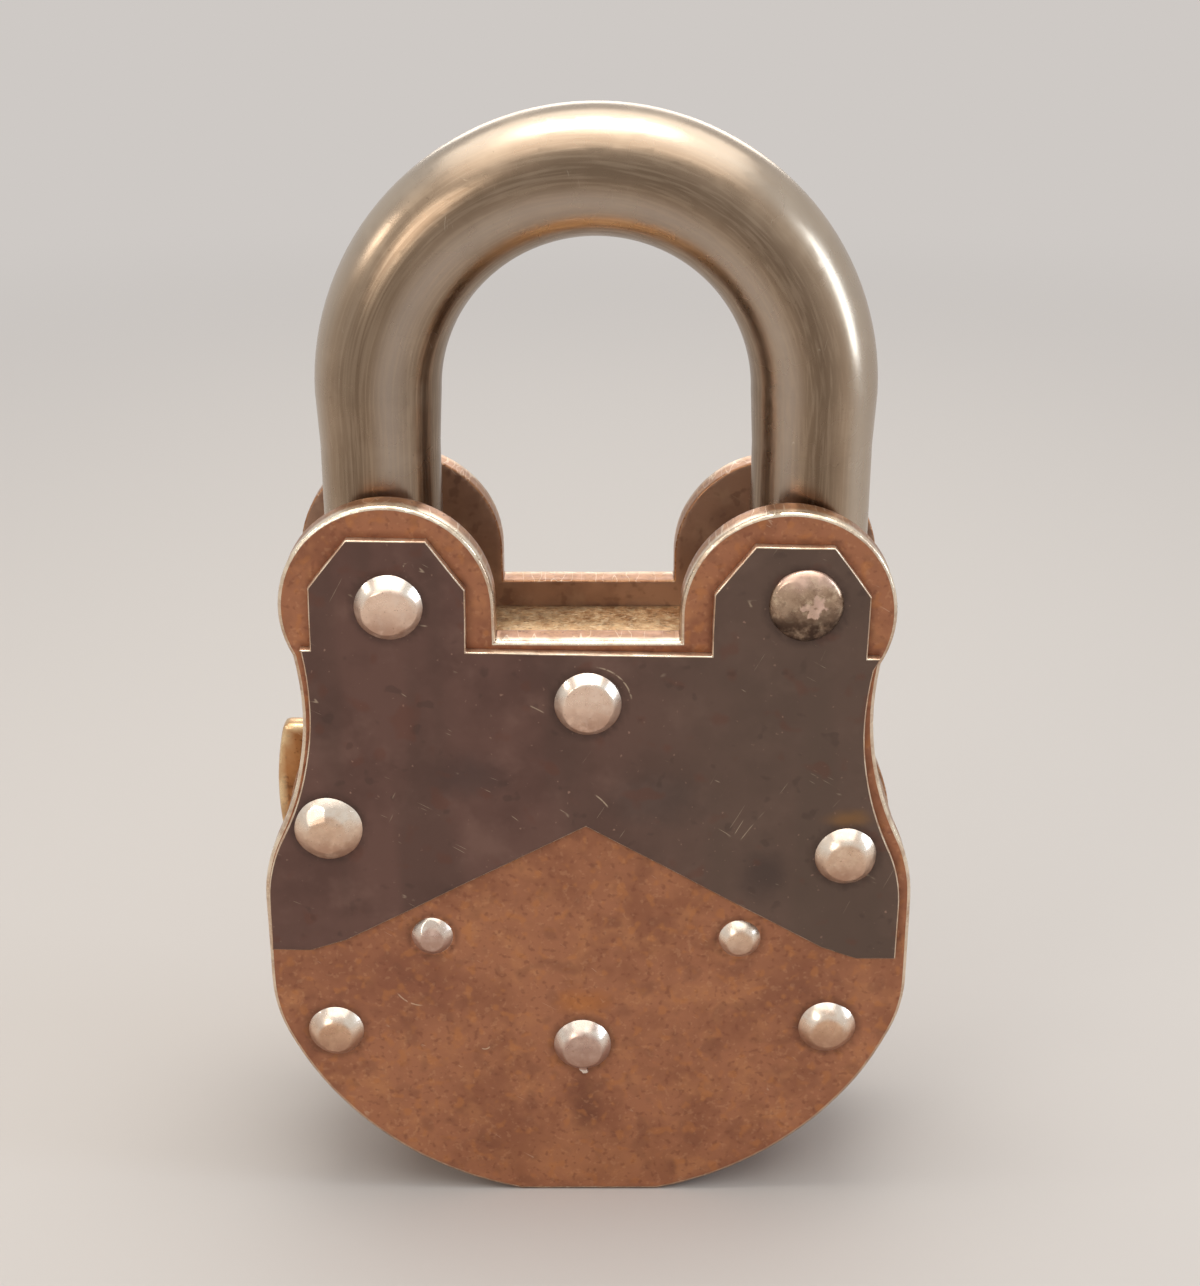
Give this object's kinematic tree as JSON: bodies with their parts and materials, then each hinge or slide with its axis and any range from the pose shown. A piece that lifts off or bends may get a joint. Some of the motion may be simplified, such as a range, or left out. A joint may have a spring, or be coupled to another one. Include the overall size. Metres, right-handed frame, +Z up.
{
  "type": "padlock",
  "caption": "Old riveted lever padlock: round-bellied metal case with lobed shoulders, swinging round shackle, dark overlays and a turning keyhole drop.",
  "frame": {"origin": "middle of the flat on the case's bottom edge, half way through its depth", "axes": "+Z up the case to the shackle, +X across the case to the shackle's hinged heel, +Y from the plain side to the side with the keyhole"},
  "size_m": [0.052, 0.0223, 0.0872],
  "materials": {
    "plate": "brown tarnish, mottled and pitted, bright worn edges",
    "cheek": "dark brown-grey tarnish, bright worn edges",
    "rim": "dull golden, scratched",
    "shackle": "pewter grey, polished by handling, fine scratches",
    "dark_rivet": "dark, smooth dome",
    "bright_rivet": "bright, peened",
    "rivet": "warm steel, peened, dirty round the edge",
    "lock_work": "dull",
    "lever": "dull",
    "leaf": "blued",
    "cover": "dull golden, worn"
  },
  "bodies": {
    "case": {"plain_side_plate": "plate", "key_side_plate": "plate", "plain_side_cheek": "cheek", "key_side_cheek": "cheek", "rim_band": "rim", "top_bridge": "rim", "shackle_rivet": "dark_rivet", "toe_rivet": "bright_rivet", "top_rivet": "bright_rivet", "left_waist_rivet": "rivet", "right_waist_rivet": "rivet", "left_lower_rivet": "rivet", "right_lower_rivet": "rivet", "drill_pin": "rivet", "bolt_post": "rivet", "lever_post": "rivet", "plain_side_collar": "rim", "key_side_collar": "rim", "cover_washer": "rim", "cover_rivet": "cover"},
    "shackle": {"shackle": "shackle"},
    "bolt": {"bolt": "lock_work", "bolt_stump": "lock_work"},
    "lever_1": {"lever_1": "lever", "lever_spring_1": "leaf"},
    "lever_2": {"lever_2": "lever", "lever_spring_2": "leaf"},
    "lever_3": {"lever_3": "lever", "lever_spring_3": "leaf"},
    "lever_4": {"lever_4": "lever", "lever_spring_4": "leaf"},
    "keyhole_cover": {"keyhole_cover": "cover"}
  },
  "joints": [
    {"name": "shackle_swing", "type": "hinge", "parent": "case", "child": "shackle", "pos_m": [0.016, 0, 0.05235], "axis": [0, 1, 0], "range_deg": [0, 100]},
    {"name": "bolt_slide", "type": "slide", "parent": "case", "child": "bolt", "axis": [-1, 0, 0], "range_m": [0, 0.0045]},
    {"name": "lever_1_lift", "type": "hinge", "parent": "case", "child": "lever_1", "pos_m": [0.0119, 0, 0.02395], "axis": [0, 1, 0], "range_deg": [-4, 5], "stiffness_Nm_per_rad": 0.06, "deforming": ["lever_spring_1"]},
    {"name": "lever_2_lift", "type": "hinge", "parent": "case", "child": "lever_2", "pos_m": [0.0119, 0, 0.02395], "axis": [0, 1, 0], "range_deg": [-4, 5], "stiffness_Nm_per_rad": 0.06, "deforming": ["lever_spring_2"]},
    {"name": "lever_3_lift", "type": "hinge", "parent": "case", "child": "lever_3", "pos_m": [0.0119, 0, 0.02395], "axis": [0, 1, 0], "range_deg": [-4, 5], "stiffness_Nm_per_rad": 0.06, "deforming": ["lever_spring_3"]},
    {"name": "lever_4_lift", "type": "hinge", "parent": "case", "child": "lever_4", "pos_m": [0.0119, 0, 0.02395], "axis": [0, 1, 0], "range_deg": [-4, 5], "stiffness_Nm_per_rad": 0.06, "deforming": ["lever_spring_4"]},
    {"name": "cover_turn", "type": "hinge", "parent": "case", "child": "keyhole_cover", "pos_m": [0, 0.01075, 0.028], "axis": [0, 1, 0], "continuous": true}
  ]
}
